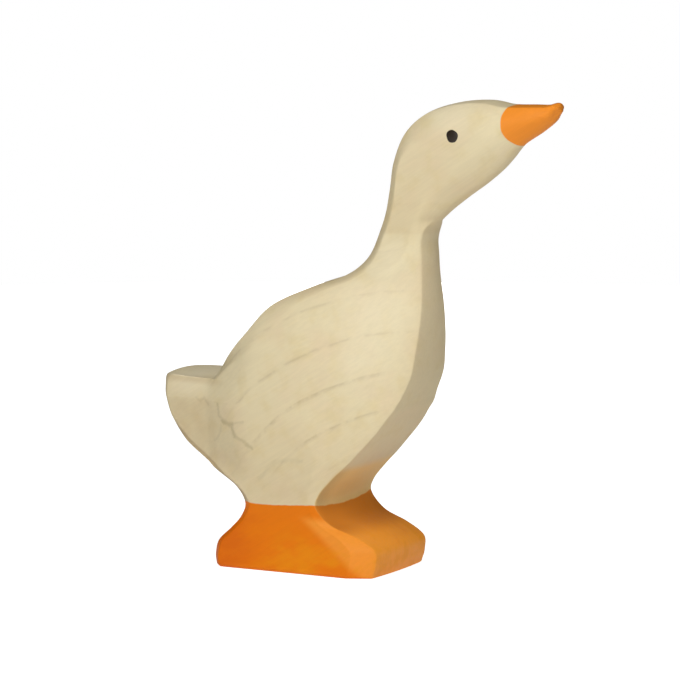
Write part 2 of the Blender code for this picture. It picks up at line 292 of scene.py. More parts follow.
# Where the rings end, the stretch that their colour ramp spans, the width of a ring's soft side and
# of its sharp side, and how they break up
RING_END = np.radians(141.0)
RING_END_FADE = 8.0
RING_NEAREST = 20.0
RING_FARTHEST = 120.0
RING_FADE = 0.8
RING_EDGE = 0.25
RING_BREAK_SIZE = 3.0
RING_SHARPNESS = 1.5
# How strongly rings show past their end, on the front flat, on the sides and towards the breast
RING_BEYOND = 0.15
RING_ON_FLAT = 0.08
RING_ON_SIDE = 0.55
RING_AT_BREAST = 0.5
# Where the rings are faint towards the breast and where they have their full strength, forward
BREAST_FRONT = 22.0
BREAST_BACK = 4.0

# Fibres of the maple: their rise from level, their width in millimetres, how they are drawn out
# and how deep they are felt
GRAIN_RISE = np.radians(32.0)
FIBRE_WIDTH = 0.5
FIBRE_STRETCH = (0.06, 1.0, 1.0)
FIBRE_BUMP = 0.06 * MM
# How much the fibres darken and lighten the paint, and the roughness it dries to over them
FIBRE_DARK = 0.975
FIBRE_PALE = 1.02
LEAST_ROUGH = 0.52
MOST_ROUGH = 0.64
# Streaks that the brush left in the glaze: their width in millimetres and how they are drawn out
STREAK_WIDTH = 3.4
STREAK_STRETCH = (0.45, 1.0, 0.8)
# Where the glaze starts to deepen towards the heel and where it is deepest, forward
HEEL_FRONT = -4.0
HEEL_BACK = -14.0

# Blotches of the cream wash: the colour, their size in millimetres, the noise levels between which
# they come in, and how far they cover
BLOTCHES = (
    ("blush", 8.0, 0.4, 0.7, 1.0),
    ("straw", 3.1, 0.45, 0.75, 0.8),
)
# Patches of painted light where the lamps fall brightest, on the breast, the head and the tail top:
# middle forward and up and reach in millimetres, and how far it covers
PAINTED_LIGHT_PATCHES = (
    (17.5, 60.5, 6.0, 0.45),
    (16.0, 50.0, 12.0, 0.55),
    (13.5, 40.0, 8.0, 0.4),
    (30.0, 88.0, 7.0, 0.6),
    (-24.0, 37.5, 8.0, 0.9),
)

# Ramps that bound the fields of the paint: an axis, where the field starts and where it is full.
# The axis called toe is the distance forward plus the slant times the height.
TOE_SLANT = 1.2
FOOT_ONLY = ("Z", 40.0, 20.0)
BEAK_ONLY = ("Z", 20.0, 40.0)
TAIL_ONLY = ("X", -13.0, -21.0)
ABOVE_TOE = ("Z", 7.4, 9.4)
# Fields of the paint, among them painted light and painted shade: how far each covers what lies
# under it, and its ramps in millimetres
FIELDS = {
    # Painted shade above the neck crease
    "nape": (0.3, (("Z", 64.3, 65.2), ("Z", 84.0, 66.0))),
    "tail side": (1.0, (TAIL_ONLY, ("Z", 33.0, 30.0))),
    "tail edge": (0.5, (TAIL_ONLY, ("Z", 33.8, 35.0), ("Z", 35.6, 35.2))),
    "front flat": (0.3, ()),
    "belly": (0.22, (("Z", 36.0, 22.0),)),
    "waist": (0.72, (("Z", 21.4, 19.0),)),
    # Painted shade on the near side of the front flat at the waist
    "near waist": (0.55, (("Y", -5.0, -11.0),)),
    # Painted shade on the back flat and its bevel under the tail and below the shoulder
    "under tail": (0.6, (("Z", 34.5, 31.0),)),
    "shoulder": (0.3, (("Z", 68.0, 62.0), ("Z", 46.0, 56.0))),
    "beak": (0.55, (BEAK_ONLY,)),
    "foot": (1.0, (FOOT_ONLY,)),
    # Painted light on the foot's lit front corner chamfer, carried on past where the carved chamfer ends
    "lit toe corner": (0.72, (("toe", 13.6, 16.6), ("Z", 11.6, 9.8))),
    "wiped": (0.65, (("Z", 11.0, 3.0), ("X", -14.0, 0.0))),
    # Painted shade under the overhanging belly, on the upper front of the foot block, deeper on the near
    # side
    "instep": (0.6, (FOOT_ONLY, ABOVE_TOE)),
    "near instep": (0.3, (FOOT_ONLY, ABOVE_TOE, ("Y", -4.0, -10.0))),
}

# Paint line round the foot block, in millimetres: its height, how much it rises towards the
# sides, its wave and that wave's turn for each millimetre, its waver and how sharp it is
FOOT_LINE_HEIGHT = 12.3
FOOT_LINE_BOW = 0.005
FOOT_LINE_WAVE = 0.25
FOOT_LINE_TURN = 0.27
FOOT_LINE_WAVER = 0.5
FOOT_LINE_EDGE = 0.12
# Paint line of the beak: its rearmost point, how it curves forward below and above that point
# and towards its ends, its waver and how sharp it is
BEAK_LINE_FORWARD = 40.0
BEAK_LINE_HEIGHT = 86.4
BEAK_LINE_BELOW = 0.05
BEAK_LINE_ABOVE = 0.11
BEAK_LINE_ENDS = 0.0035
BEAK_LINE_WAVER = 0.25
BEAK_LINE_EDGE = 0.1
LINE_WAVER_SIZE = 2.5

# Fine checks in the near side by the tail, as chains of points in millimetres forward and up,
# each chain with its width and how strongly it shows
CHECKS = (
    (((-16.3, 31.1), (-16.1, 29.0), (-15.0, 27.9)), 0.55, 0.43),
    (((-15.2, 28.0), (-13.5, 27.3), (-12.6, 27.6)), 0.78, 0.72),
    (((-13.0, 27.5), (-10.0, 28.1)), 0.49, 0.43),
    (((-12.8, 27.1), (-12.0, 25.2)), 0.78, 0.64),
    (((-12.0, 25.2), (-10.0, 24.4), (-8.1, 23.4)), 0.65, 0.6),
    (((-15.6, 26.9), (-15.9, 25.7), (-17.0, 24.3), (-17.8, 23.8)), 0.44, 0.26),
    (((-22.0, 31.6), (-20.9, 31.1), (-20.0, 31.8), (-18.9, 30.7)), 0.52, 0.3),
    (((2.5, 21.7), (-0.9, 21.5), (-3.1, 21.1), (-4.8, 19.6), (-6.6, 17.6)), 0.78, 0.24),
)
# Checks lie on the near side of this, hold this much dirt, and shake by this much at these sizes
# forward and up
CHECK_DEPTH = -4.0
CHECK_DIRT = 0.5
CHECK_SHAKE = 0.9
CHECK_SHAKE_SIZES = (("X", 1.1), ("Z", 1.7))

# Kinds of node that are added most
MATH = "ShaderNodeMath"
VECTOR = "ShaderNodeVectorMath"
RANGE = "ShaderNodeMapRange"
MIX = "ShaderNodeMix"
NOISE = "ShaderNodeTexNoise"
SMOOTH = "SMOOTHSTEP"

# What the lamps point at, what the camera looks at, and the floor
LIT_MIDDLE = Vector((8.0, 0.0, 45.0)) * MM
LOOK_AT = Vector((4.3, 0.0, 43.3)) * MM
SENSOR_WIDTH = 36.0
NEAREST_SEEN = 0.01
FLOOR_RADIUS = 0.45
FLOOR_SEGMENTS = 96
FLOOR_GLOW = 0.9

# Soft lamps: azimuth and elevation in degrees, distance and width in metres, power in watts
LAMPS = (
    ("key", 12.0, 16.0, 0.23, 0.12, 0.15),
    ("top", 20.0, 55.0, 0.5, 0.35, 1.3),
    ("side", 80.0, 20.0, 0.5, 0.35, 0.42),
    ("back", 205.0, 8.0, 0.5, 0.3, 0.9),
)

# Paint colours, some of them used as painted light and painted shade: the name, the label, where it
# is seen and its sRGB value
COLOURS = (
    ("cream", "Cream Wash", "Main tone of the washed maple", "#e6d7b0"),
    ("thick", "Painted Light", "Painted light where the lamps fall brightest", "#f1e4c2"),
    ("blush", "Warm Blotch", "Where warmer wood shows", "#e5d2ac"),
    ("straw", "Straw Fleck", "Where the wash lies thin", "#e2d0a2"),
    ("bare", "Darker Tone", "Darker patches, and painted shade above the neck crease", "#cfb78b"),
    ("latewood", "Latewood and Painted Shade", "The dark part of a growth ring, and painted shade by the waist and on the back", "#a88e65"),
    ("stained", "Stained Wood", "Wood that glaze crept into", "#f0c878"),
    ("check", "Check", "The inside of a fine crack", "#93835c"),
    ("orange", "Orange Glaze", "Main tone of the glaze", "#ec7c05"),
    ("ember", "Deep Glaze", "Where the glaze lies heavy", "#e06a08"),
    ("pooled", "Painted Instep Shade", "Painted shade in the instep under the belly", "#cc7824"),
    ("amber", "Thin Glaze", "Where the glaze lies thin", "#ee940c"),
    ("light_orange", "Pale Glaze and Painted Light", "Paler glaze of the beak, and painted light on the front of the foot block", "#fca23c"),
    ("eye", "Eye Paint", "Brown black paint of the eyes", "#22180c"),
    ("eye_thin", "Thin Eye Paint", "Where the eye paint lies thin", "#33261a"),
)
FLOOR_COLOUR = "#d9d9d9"


def linear(hex_colour):
    """A #rrggbb colour as linear red, green, blue and alpha."""
    values = [int(hex_colour[i : i + 2], 16) / 255.0 for i in (1, 3, 5)]
    return tuple(v / 12.92 if v <= 0.04045 else ((v + 0.055) / 1.055) ** 2.4 for v in values) + (1.0,)


def slopes(places, values, corners):
    """Slope of a smooth curve through values, before and after each place."""
    steps = np.diff(places)
    rises = np.diff(values) / steps
    before = np.empty_like(values)
    after = np.empty_like(values)
    before[0] = after[0] = rises[0]
    before[-1] = after[-1] = rises[-1]
    for i in range(1, len(values) - 1):
        if i in corners:
            before[i] = rises[i - 1]
            after[i] = rises[i]
        else:
            total = steps[i - 1] + steps[i]
            before[i] = (rises[i - 1] * steps[i] + rises[i] * steps[i - 1]) / total
            after[i] = before[i]
    return before, after


def curve(places, values, at, corners=(), limited=False):
    """Read a smooth curve; a limited one never swings past the values it joins."""
    places = np.asarray(places, float)
    values = np.asarray(values, float)
    before, after = slopes(places, values, corners)
    if limited:
        rises = np.diff(values) / np.diff(places)
        for i in range(1, len(values) - 1):
            if rises[i - 1] * rises[i] <= 0.0:
                before[i] = after[i] = 0.0
    index = np.clip(np.searchsorted(places, at, side="right") - 1, 0, len(places) - 2)
    step = places[index + 1] - places[index]
    u = (at - places[index]) / step
    start, end = values[index], values[index + 1]
    leave, arrive = after[index] * step, before[index + 1] * step
    cubic = 2.0 * start - 2.0 * end + leave + arrive
    square = -3.0 * start + 3.0 * end - 2.0 * leave - arrive
    return ((cubic * u + square) * u + leave) * u + start


def law(knots, at):
    """A value that follows the ladder through (rung, value) knots."""
    places, values = zip(*knots)
    return curve(places, values, at, limited=True)


def tail_share(at):
    """How much the tail's own sides count: none at the waist, all from the rump up."""
    return law(((0, 0.0), (WAIST, 0.0), (BELLY, 1.0), (TIP, 1.0)), at)


def side_reach(at, forward, height):
    """Half the width between the sides at points of the ladder."""
    body = 0.5 * MM * law(SIDE_WIDTHS, at)
    behind = forward - RUNGS[NOTCH, 0]
    above = height - TAIL_CREASE_HEIGHT
    top = RUNGS[TAIL_TOP, 1] - TAIL_CREASE_HEIGHT
    plan = 0.5 * TAIL_ROOT_WIDTH + behind * np.where(behind < 0.0, TAIL_TAPER, TAIL_FLARE)
    over = 0.5 * (above + top - np.sqrt((above - top) ** 2 + TAIL_TOP_SOFTNESS**2))
    tail = plan - TAIL_OVER_SLOPE * np.maximum(over, 0.0) - TAIL_UNDER_SLOPE * np.maximum(-above, 0.0)
    narrower = 0.5 * (body + tail - np.sqrt((body - tail) ** 2 + TAIL_SOFTNESS**2))
    return body + tail_share(at) * (np.minimum(narrower, body) - body)


def outward(line, other):
    """Unit normals of one outline in the XZ plane, pointing away from the other."""
    along = np.gradient(line, axis=0)
    normal = np.stack([along[:, 1], -along[:, 0]], axis=1)
    normal /= np.linalg.norm(normal, axis=1)[:, None]
    turn = np.sign(np.sum(normal * (line - other), axis=1))
    return normal * turn[:, None]


def section_stretches(at, back, front):
    """The five stretches of every half section, each as (rung, point, xyz) with its ends included.

    They run from the middle of the back, down the -Y side, to the middle of the front.
    """
    span = front - back
    length = np.linalg.norm(span, axis=1)
    back_reach = side_reach(at, back[:, 0], back[:, 1])
    front_reach = side_reach(at, front[:, 0], front[:, 1])
    back_width = np.minimum(0.5 * MM * law(BACK_WIDTHS, at), back_reach)
    front_width = np.minimum(0.5 * MM * law(FRONT_WIDTHS, at), front_reach)
    back_run = MM * law(BACK_RUNS, at)
    front_run = MM * law(FRONT_RUNS, at)
    fit = np.minimum(1.0, MOST_RUN * length / (back_run + front_run))
    back_run = (back_run * fit)[:, None]
    front_run = (front_run * fit)[:, None]
    share = np.linspace(0.0, 1.0, SAMPLES_PER_STRETCH)[None, :]
    length = length[:, None]
    rung = np.broadcast_to(at[:, None], (len(at), share.size))

    def on_span(along):
        place = back[:, None, :] + span[:, None, :] * (along / length)[:, :, None]
        return place[..., 0], place[..., 1]

    def flat(line, out, width, crown, shares):
        rise = crown * (1.0 - shares**2)
        forward = line[:, :1] + out[:, :1] * rise
        height = line[:, 1:] + out[:, 1:] * rise
        return np.stack([forward, -width[:, None] * shares, height], axis=2)

    def run(along, width, ease, shares):
        forward, height = on_span(along)
        fullness = 1.0 - (1.0 - shares) ** ease[:, None]
        reach = side_reach(rung, forward, height)
        aside = width[:, None] + (reach - width[:, None]) * fullness
        return np.stack([forward, -aside, height], axis=2)

    forward, height = on_span(back_run + (length - back_run - front_run) * share)
    side = np.stack([forward, -side_reach(rung, forward, height), height], axis=2)
    return (
        flat(back, outward(back, front), back_width, BACK_CROWN, share),
        run(back_run * share, back_width, law(BACK_EASES, at), share),
        side,
        run(length - front_run * share, front_width, law(FRONT_EASES, at), share)[:, ::-1],
        flat(front, outward(front, back), front_width, FRONT_CROWN, share)[:, ::-1],
    )


def softened_half(stretches, softness):
    """Columns of the half section, with every arris rounded over by the softness."""
    counts = (FLAT_COLUMNS, RUN_COLUMNS, SIDE_COLUMNS, RUN_COLUMNS, FLAT_COLUMNS)
    offsets = np.linspace(-1.0, 1.0, SOFTENING_TAPS)
    weights = np.cos(0.45 * np.pi * offsets)
    weights /= weights.sum()
    mirror = np.array([1.0, -1.0, 1.0])
    rows = []
    for i in range(len(stretches[0])):
        parts = [part[i] for part in stretches]
        line = np.concatenate([parts[0]] + [part[1:] for part in parts[1:]])
        before = line[SOFTENING_OVERLAP:0:-1] * mirror
        after = line[-2 : -2 - SOFTENING_OVERLAP : -1] * mirror
        line = np.concatenate([before, line, after])
        steps = np.linalg.norm(np.diff(line, axis=0), axis=1)
        run = np.concatenate([[0.0], np.cumsum(steps)])
        ends = [run[SOFTENING_OVERLAP]]
        for part in parts:
            ends.append(ends[-1] + np.linalg.norm(np.diff(part, axis=0), axis=1).sum())
        places = []
        for j, count in enumerate(counts):
            share = np.linspace(0.0, 1.0, count + 1)[: count + (j == len(counts) - 1)]
            if j == 0:
                share = np.sin(0.5 * np.pi * share)
            elif j == len(counts) - 1:
                share = 1.0 - np.cos(0.5 * np.pi * share)
            else:
                share = 0.5 - 0.5 * np.cos(np.pi * share)
            places.append(ends[j] + (ends[j + 1] - ends[j]) * share)
        places = np.concatenate(places)
        row = np.zeros((len(places), 3))
        for offset, weight in zip(offsets, weights):
            at = np.clip(places + offset * softness, 0.0, run[-1])
            for k in range(3):
                row[:, k] += weight * np.interp(at, run, line[:, k])
        row[0, 1] = row[-1, 1] = 0.0
        rows.append(row)
    return np.array(rows)


def ladder_loops(softness):
    """Closed loops of points round the figure, one for each step up the ladder."""
    at = np.linspace(0.0, TIP, TIP * STEPS_PER_RUNG + 1)
    places = np.arange(len(RUNGS))
    back = np.stack([curve(places, RUNGS[:, i], at, (NOTCH,)) for i in (0, 1)], axis=1)
    front = np.stack([curve(places, RUNGS[:, i], at) for i in (2, 3)], axis=1)
    half = softened_half(section_stretches(at, back, front), softness)
    mirrored = half[:, -2:0:-1] * np.array([1.0, -1.0, 1.0])
    return np.concatenate([half, mirrored], axis=1)


def column_share(first, last, blend):
    """1 on the columns of the half section from first to last and 0 on the others, round one loop."""
    column = np.arange(STRIP_START + FLAT_COLUMNS + 1)
    half = np.clip(np.minimum(column - first, last - column) / blend + 1.0, 0.0, 1.0)
    return np.concatenate([half, half[-2:0:-1]])


def underside_loops(lowest):
    """Loops that round the bottom edge over and close the flat underside, lowest last."""
    reach = np.abs(lowest).max(axis=0)[:2]
    loops = []
    for turn in BOTTOM_TURNS:
        inset = BOTTOM_ROUNDING * (1.0 - np.cos(turn))
        scale = 1.0 - inset / reach
        height = lowest[:, 2] * (1.0 - np.sin(turn))
        loops.append(np.column_stack([lowest[:, 0] * scale[0], lowest[:, 1] * scale[1], height]))
    edge = loops[-1]
    for share in UNDERSIDE_SHARES:
        loops.append(edge * np.array([share, share, 1.0]))
    return loops


def add(tree, kind, inputs=None, **settings):
    """Add one node with its settings; an input takes a value, or the node or output it is linked to."""
    node = tree.nodes.new(kind)
    for name, value in settings.items():
        setattr(node, name, value)
    for key, value in (inputs or {}).items():
        socket = node.inputs[key]
        if isinstance(value, bpy.types.Node):
            value = next(output for output in value.outputs if output.enabled)
        if isinstance(value, bpy.types.NodeSocket):
            tree.links.new(value, socket)
        else:
            socket.default_value = value
    return node


def new_material(name):
    """An empty material with its Principled shader wired to the output."""
    material = bpy.data.materials.new(name)
    material.use_nodes = True
    tree = material.node_tree
    tree.nodes.clear()
    shader = add(tree, "ShaderNodeBsdfPrincipled")
    add(tree, "ShaderNodeOutputMaterial", {"Surface": shader.outputs["BSDF"]})
    return material, tree, shader


def growth_rings(tree, place, across):
    """How dark the rings' late wood is: thin lines that bend round the ring centre."""
    flat = add(tree, VECTOR, {0: place, 1: (1.0, 0.0, 1.0)}, operation="MULTIPLY")
    centre = Vector((RING_FORWARD, 0.0, RING_HEIGHT))
    radius = add(tree, VECTOR, {0: flat, 1: centre}, operation="DISTANCE")
    drift = add(tree, NOISE, {"Vector": place, "Scale": 1.0 / RING_WANDER_SIZE, "Detail": 3.0})
    bent = add(tree, MATH, {0: drift, 1: RING_WANDER, 2: radius}, operation="MULTIPLY_ADD")
    distance = add(tree, MATH, {0: across, 1: RING_LEAN, 2: bent}, operation="MULTIPLY_ADD")
    start = 0.5 * RING_WANDER - 0.5 * RING_LEAN * BOARD_THICKNESS / MM
    share = add(tree, RANGE, {0: distance, 1: RING_NEAREST + start, 2: RING_FARTHEST + start})
    lines = add(tree, "ShaderNodeValToRGB", {"Fac": share})
    elements = lines.color_ramp.elements
    elements.remove(elements[1])
    elements[0].color = (0.0, 0.0, 0.0, 1.0)
    for ring, strength in RINGS:
        for reach, level in ((-RING_FADE, 0.0), (0.0, strength), (RING_EDGE, 0.0)):
            element = elements.new((ring + reach - RING_NEAREST) / (RING_FARTHEST - RING_NEAREST))
            element.color = (level, level, level, 1.0)
    narrow = add(tree, MATH, {0: lines, 1: RING_SHARPNESS}, operation="POWER")
    upward = Vector((np.sin(RING_END), 0.0, -np.cos(RING_END)))
    end = centre.dot(upward)
    above = add(tree, VECTOR, {0: place, 1: upward}, operation="DOT_PRODUCT")
    past_end = {0: above, 1: end, 2: end + RING_END_FADE, 3: RING_BEYOND}
    shown = add(tree, RANGE, past_end, interpolation_type=SMOOTH)
    whole = add(tree, MATH, {0: narrow, 1: shown}, operation="MULTIPLY")
    patches = add(tree, NOISE, {"Vector": place, "Scale": 1.0 / RING_BREAK_SIZE, "Detail": 4.0})
    broken = add(tree, RANGE, {0: patches, 1: 0.4, 2: 0.62, 3: 0.12, 4: 0.95}, interpolation_type=SMOOTH)
    return add(tree, MATH, {0: whole, 1: broken}, operation="MULTIPLY")


class GooseCarving(bpy.types.PropertyGroup):
    """Sizes of the knife work."""

    softness: FloatProperty(
        name="Arris Softness",
        description="How far each side of an arris the sanding has rounded it",
        default=0.38 * MM,
        min=0.0,
        precision=5,
        unit="LENGTH",
    )
    scoop_depth: FloatProperty(
        name="Scoop Depth",
        description="Deepest part of a knife scoop",
        default=0.05 * MM,
        min=0.0,
        precision=5,
        unit="LENGTH",
    )
    scoop_length: FloatProperty(
        name="Scoop Length",
        description="Length of a knife scoop along the grain",
        default=13.0 * MM,
        precision=4,
        unit="LENGTH",
    )
    scoop_width: FloatProperty(
        name="Scoop Width",
        description="Width of a knife scoop across the grain",
        default=6.0 * MM,
        precision=4,
        unit="LENGTH",
    )
    seed: FloatProperty(name="Seed", description="Picks another layout of the scoops", default=3.0)


class GooseEyes(bpy.types.PropertyGroup):
    """Sizes of the two eye dabs."""

    diameter: FloatProperty(
        name="Diameter",
        description="Width of an eye dab",
        default=2.4 * MM,
        precision=5,
        unit="LENGTH",
    )
    rise: FloatProperty(
        name="Rise",
        description="Height of an eye dab over the wood",
        default=0.12 * MM,
        precision=5,
        unit="LENGTH",
    )


class GooseColours(bpy.types.PropertyGroup):
    """Colours of the wash, the glaze and the eye paint, and of the painted light and shade."""

    __annotations__ = {
        key: FloatVectorProperty(
            name=label,
            description=words,
            default=linear(tone),
            size=4,
            subtype="COLOR",
        )
        for key, label, words, tone in COLOURS
    }


class GooseStage(bpy.types.PropertyGroup):
    """Camera and lamps."""

    azimuth: FloatProperty(
        name="Azimuth",
        description="Camera's turn round the goose",
        default=np.radians(28.0),
        subtype="ANGLE",
    )
    elevation: FloatProperty(
        name="Elevation",
        description="Camera's height as an angle",
        default=np.radians(7.6),
        subtype="ANGLE",
    )
    distance: FloatProperty(
        name="Distance",
        description="Camera to the goose",
        default=857.0 * MM,
        subtype="DISTANCE",
        unit="LENGTH",
    )
    lens: FloatProperty(name="Lens", description="Focal length in millimetres", default=239.6)
    light: FloatProperty(name="Light", description="Brightness of all the lamps", default=1.0, min=0.0)
    bounce: FloatProperty(name="Bounce", description="Light the floor sends up", default=0.275, min=0.0)
    room: FloatProperty(name="Room", description="Light from all round", default=0.03, min=0.0)


def knife_scoops():
    """A node tree that sinks shallow long scoops into a surface, as a knife leaves them."""
    tree = bpy.data.node_groups.new("knife scoops", "GeometryNodeTree")
    face = tree.interface
    face.new_socket(name="Geometry", in_out="INPUT", socket_type="NodeSocketGeometry")
    for name in ("Depth", "Length", "Width", "Seed"):
        face.new_socket(name=name, in_out="INPUT", socket_type="NodeSocketFloat")
    face.new_socket(name="Geometry", in_out="OUTPUT", socket_type="NodeSocketGeometry")
    entry = add(tree, "NodeGroupInput").outputs
    place = add(tree, "GeometryNodeInputPosition")
    rise = {"Vector": place, "Angle": GRAIN_RISE}
    turned = add(tree, "ShaderNodeVectorRotate", rise, rotation_type="Y_AXIS")
    sizes = {"X": entry["Length"], "Y": entry["Width"], "Z": entry["Width"]}
    size = add(tree, "ShaderNodeCombineXYZ", sizes)
    cell = add(tree, VECTOR, {0: turned, 1: size}, operation="DIVIDE")
    layout = {"Vector": cell, "W": entry["Seed"], "Scale": 1.0, "Randomness": 0.9}
    nearest = add(tree, "ShaderNodeTexVoronoi", layout, voronoi_dimensions="4D")
    away = nearest.outputs["Distance"]
    square = add(tree, MATH, {0: away, 1: away}, operation="MULTIPLY")
    bowl = add(tree, MATH, {0: 1.0, 1: square}, operation="SUBTRACT", use_clamp=True)
    keep = add(tree, "GeometryNodeInputNamedAttribute", {"Name": "carved"}, data_type="FLOAT")
    deep = add(tree, MATH, {0: bowl, 1: entry["Depth"]}, operation="MULTIPLY")
    sink = add(tree, MATH, {0: deep, 1: keep}, operation="MULTIPLY")
    normal = add(tree, "GeometryNodeInputNormal")
    inward = add(tree, VECTOR, {0: normal, "Scale": -1.0}, operation="SCALE")
    shift = add(tree, VECTOR, {0: inward, "Scale": sink}, operation="SCALE")
    moved = add(tree, "GeometryNodeSetPosition", {"Geometry": entry["Geometry"], "Offset": shift})
    real = add(tree, "GeometryNodeRealizeInstances", {"Geometry": moved})
    paint = {"Geometry": real, "Material": bpy.data.materials["painted_maple"]}
    add(tree, "NodeGroupOutput", {"Geometry": add(tree, "GeometryNodeSetMaterial", paint)})
    return tree


def field(tree, axes, name, *shares):
    """How far a field of the paint covers a point: its cover, its ramps and more shares multiplied."""
    cover, ramps = FIELDS[name]
    for axis, start, full in ramps:
        ramp = add(tree, RANGE, {0: axes[axis], 1: start, 2: full}, interpolation_type=SMOOTH)
        cover = add(tree, MATH, {0: ramp, 1: cover}, operation="MULTIPLY")
    for share in shares:
        cover = add(tree, MATH, {0: share, 1: cover}, operation="MULTIPLY")
    return cover


def layered(tree, colour, layers):
    """A colour under thin layers, each given as how far it covers and its own colour."""
    for cover, tone in layers:
        colour = add(tree, MIX, {0: cover, 6: colour, 7: tone}, data_type="RGBA")
    return colour


def darker_patches(tree, place, axes, strip):
    """How far a darker tone covers the wash: at the tail, on the front flat and low on the belly."""
    cloud = add(tree, NOISE, {"Vector": place, "Scale": 1.0 / 4.0, "Detail": 2.0})
    tone_cover = add(tree, RANGE, {0: cloud, 1: 0.25, 2: 0.7, 3: 0.3, 4: 0.55}, interpolation_type=SMOOTH)
    tail = {0: field(tree, axes, "tail side", tone_cover), 1: field(tree, axes, "tail edge")}
    tail = add(tree, MATH, tail, operation="ADD")
    bare = add(tree, MATH, {0: tail, 1: field(tree, axes, "front flat", strip)}, operation="MAXIMUM")
    return add(tree, MATH, {0: bare, 1: field(tree, axes, "belly")}, operation="MAXIMUM")


def cream_wash(tree, place, axes, grey, cracks, colours):
    """Thin cream wash with growth rings, straw flecks, darker patches, painted light and painted shade.
    """
    strip = add(tree, "ShaderNodeAttribute", attribute_name="strip").outputs["Fac"]
    keel = add(tree, "ShaderNodeAttribute", attribute_name="keel").outputs["Fac"]
    layers = []
    for tone, size, low, high, most in BLOTCHES:
        cloud = add(tree, NOISE, {"Vector": place, "Scale": 1.0 / size, "Detail": 3.0})
        mask = add(tree, RANGE, {0: cloud, 1: low, 2: high, 4: most}, interpolation_type=SMOOTH)
        layers.append((mask, getattr(colours, tone)))
    flat = add(tree, VECTOR, {0: place, 1: (1.0, 0.0, 1.0)}, operation="MULTIPLY")
    # Patches of painted light where the lamps fall brightest
    for forward, height, reach, most in PAINTED_LIGHT_PATCHES:
        away = add(tree, VECTOR, {0: flat, 1: (forward, 0.0, height)}, operation="DISTANCE")
        mask = add(tree, RANGE, {0: away, 1: reach, 2: 0.0, 4: most}, interpolation_type=SMOOTH)
        layers.append((mask, colours.thick))
    # Painted shade above the neck crease
    layers.append((field(tree, axes, "nape"), colours.bare))
    layers.append((darker_patches(tree, place, axes, strip), colours.bare))

    stain = field(tree, axes, "waist", strip)
    layers.append((stain, colours.stained))
    # Painted shade on the near side of the front flat at the waist
    layers.append((field(tree, axes, "near waist", stain), colours.latewood))
    # Painted shade on the back flat and its bevel under the tail and below the shoulder
    behind = {0: field(tree, axes, "under tail"), 1: field(tree, axes, "shoulder")}
    behind = add(tree, MATH, behind, operation="MAXIMUM")
    painted_back_shade = add(tree, MATH, {0: keel, 1: behind}, operation="MULTIPLY")
    layers.append((painted_back_shade, colours.latewood))

    rings = growth_rings(tree, place, axes["Y"])
    seen = add(tree, RANGE, {0: strip, 3: RING_ON_SIDE, 4: RING_ON_FLAT})
    breast = {0: axes["X"], 1: BREAST_FRONT, 2: BREAST_BACK, 3: RING_AT_BREAST}
    faint = add(tree, RANGE, breast, interpolation_type=SMOOTH)
    shown = add(tree, MATH, {0: rings, 1: seen}, operation="MULTIPLY")
    shown = add(tree, MATH, {0: shown, 1: faint}, operation="MULTIPLY")
    layers.append((shown, colours.latewood))

    wash = layered(tree, colours.cream, layers)
    wash = add(tree, MIX, {0: 1.0, 6: wash, 7: grey}, data_type="RGBA", blend_type="MULTIPLY")
    dirt = add(tree, MATH, {0: cracks, 1: CHECK_DIRT}, operation="MULTIPLY")
    return layered(tree, wash, ((dirt, colours.check),))


def orange_glaze(tree, place, axes, grey, colours):
    """Orange glaze brushed along the block: deep at heel, thin below, painted shade in the instep,
    painted light at the toe.
    """
    brushed = add(tree, VECTOR, {0: place, 1: STREAK_STRETCH}, operation="MULTIPLY")
    grain = {"Vector": brushed, "Scale": 1.0 / STREAK_WIDTH, "Detail": 4.0, "Roughness": 0.6}
    streaks = add(tree, NOISE, grain)
    strip = add(tree, "ShaderNodeAttribute", attribute_name="strip").outputs["Fac"]
    # Painted light on the front of the foot block and on its lit corner chamfer; on the beak the same
    # pale glaze is its own paler tone
    toe = add(tree, MATH, {0: strip, 1: field(tree, axes, "lit toe corner")}, operation="MAXIMUM")
    tone_cover = {0: field(tree, axes, "beak"), 1: field(tree, axes, "foot", toe)}
    tone_cover = add(tree, MATH, tone_cover, operation="ADD")
    wiped = add(tree, RANGE, {0: streaks, 1: 0.42, 2: 0.66}, interpolation_type=SMOOTH)
    thin = field(tree, axes, "wiped", wiped)
    # Glaze lying thicker towards the heel, broken by the streaks
    heel = {0: axes["X"], 1: HEEL_FRONT, 2: HEEL_BACK, 3: 0.5, 4: 1.0}
    heel = add(tree, RANGE, heel, interpolation_type=SMOOTH)
    deep = add(tree, MATH, {0: heel, 1: streaks}, operation="SUBTRACT")
    thick = add(tree, RANGE, {0: deep, 1: 0.0, 2: 0.8}, interpolation_type=SMOOTH)
    # Painted shade in the instep under the overhanging belly, deeper on the near side
    painted_instep_shade = {0: field(tree, axes, "instep", strip), 1: field(tree, axes, "near instep", strip)}
    painted_instep_shade = add(tree, MATH, painted_instep_shade, operation="ADD")
    layers = (
        (tone_cover, colours.light_orange),
        (thin, colours.amber),
        (thick, colours.ember),
        (painted_instep_shade, colours.pooled),
    )
    glaze = layered(tree, colours.orange, layers)
    return add(tree, MIX, {0: 0.8, 6: glaze, 7: grey}, data_type="RGBA", blend_type="MULTIPLY")


